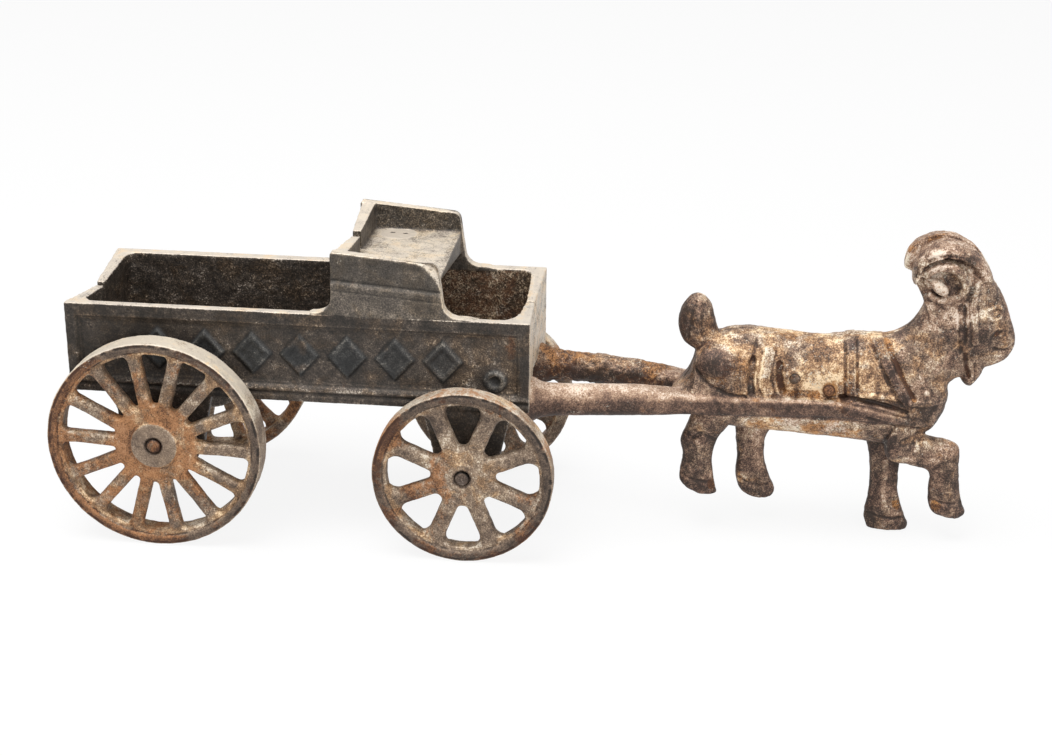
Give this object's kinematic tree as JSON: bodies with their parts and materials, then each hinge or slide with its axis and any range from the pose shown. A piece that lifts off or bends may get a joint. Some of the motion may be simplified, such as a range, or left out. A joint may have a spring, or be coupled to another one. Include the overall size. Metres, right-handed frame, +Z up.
{
  "type": "cast iron goat cart toy",
  "caption": "Old cast iron pull toy: an express wagon on loose spoked wheels, with a seat, two shafts and a goat stepping between them.",
  "frame": {"origin": "on the ground, at the middle of the toy's length, on the plane where the right and left castings meet", "axes": "+X from the wagon to the goat, +Y to the toy's left, +Z up"},
  "size_m": [0.2808, 0.0752, 0.0956],
  "materials": {
    "brown_iron": "bare brown black cast iron, worn paler on its edges",
    "rusty_iron": "cast iron with tan and red brown rust and traces of cream paint",
    "grey_iron": "grey brown cast iron with pale residue in its hollows",
    "steel": "tarnished wire and rivet ends"
  },
  "bodies": {
    "cart": {"wagon_half_right": "brown_iron", "wagon_half_left": "brown_iron", "seat_half_right": "brown_iron", "seat_half_left": "brown_iron", "shaft_right": "rusty_iron", "shaft_left": "rusty_iron", "goat_body_right": "grey_iron", "goat_body_left": "grey_iron", "goat_head_right": "grey_iron", "goat_head_left": "grey_iron", "goat_leg_front_right": "grey_iron", "goat_leg_rear_right": "grey_iron", "goat_leg_front_left": "grey_iron", "goat_leg_rear_left": "grey_iron", "goat_rivet_front": "steel", "goat_rivet_rear": "steel"},
    "rear_axle": {"rear_axle": "steel"},
    "front_axle": {"front_axle": "steel"},
    "rear_wheel_right": {"rear_wheel_right": "rusty_iron"},
    "rear_wheel_left": {"rear_wheel_left": "rusty_iron"},
    "front_wheel_right": {"front_wheel_right": "rusty_iron"},
    "front_wheel_left": {"front_wheel_left": "rusty_iron"}
  },
  "joints": [
    {"name": "rear_axle_turn", "type": "hinge", "parent": "cart", "child": "rear_axle", "pos_m": [-0.1084, 0, 0.03191], "axis": [0, 1, 0], "continuous": true},
    {"name": "front_axle_turn", "type": "hinge", "parent": "cart", "child": "front_axle", "pos_m": [-0.01765, 0, 0.02652], "axis": [0, 1, 0], "continuous": true},
    {"name": "rear_wheel_right_spin", "type": "hinge", "parent": "rear_axle", "child": "rear_wheel_right", "pos_m": [-0.1084, -0.0318, 0.03191], "axis": [0, 1, 0], "continuous": true},
    {"name": "rear_wheel_left_spin", "type": "hinge", "parent": "rear_axle", "child": "rear_wheel_left", "pos_m": [-0.1084, 0.0318, 0.03191], "axis": [0, 1, 0], "continuous": true},
    {"name": "front_wheel_right_spin", "type": "hinge", "parent": "front_axle", "child": "front_wheel_right", "pos_m": [-0.01765, -0.0318, 0.02652], "axis": [0, 1, 0], "continuous": true},
    {"name": "front_wheel_left_spin", "type": "hinge", "parent": "front_axle", "child": "front_wheel_left", "pos_m": [-0.01765, 0.0318, 0.02652], "axis": [0, 1, 0], "continuous": true}
  ]
}
